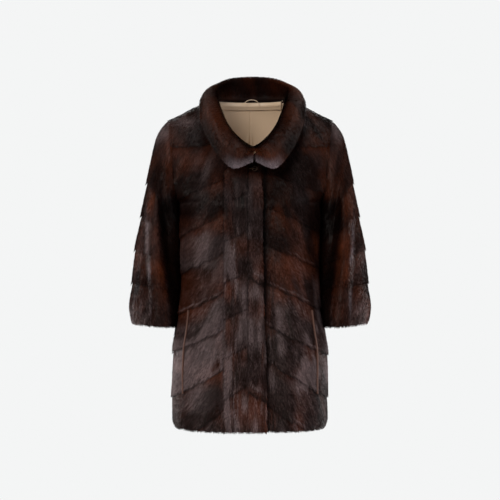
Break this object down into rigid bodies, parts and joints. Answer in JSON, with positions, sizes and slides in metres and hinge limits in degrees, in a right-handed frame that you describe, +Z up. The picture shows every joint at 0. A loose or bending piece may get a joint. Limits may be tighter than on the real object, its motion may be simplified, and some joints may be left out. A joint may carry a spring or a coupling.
{
  "type": "fur coat with three-quarter sleeves",
  "caption": "Brown mink fur coat with a fold-over collar and wide three-quarter sleeves, hollow as when worn.",
  "frame": {"origin": "in the neck on the centre line, level with the back neck seam, where the wearer's shoulders carry the coat", "axes": "+Z up, -Y out of the front, -X to the wearer's right"},
  "size_m": [0.5888, 0.2933, 0.8664],
  "materials": {
    "mink_fur": "glossy short brown mink pile",
    "lining": "beige satin",
    "hook_metal": "dark bronzed wire"
  },
  "bodies": {
    "root": {"front_right": "mink_fur", "front_left": "mink_fur", "back": "mink_fur", "sleeve_right": "mink_fur", "sleeve_left": "mink_fur", "collar": "mink_fur", "pocket_welt_right": "mink_fur", "pocket_welt_left": "mink_fur", "lining_back": "lining", "neck_facing": "lining", "hanger_loop": "lining", "neck_hook": "hook_metal", "neck_eye": "hook_metal"}
  },
  "joints": []
}
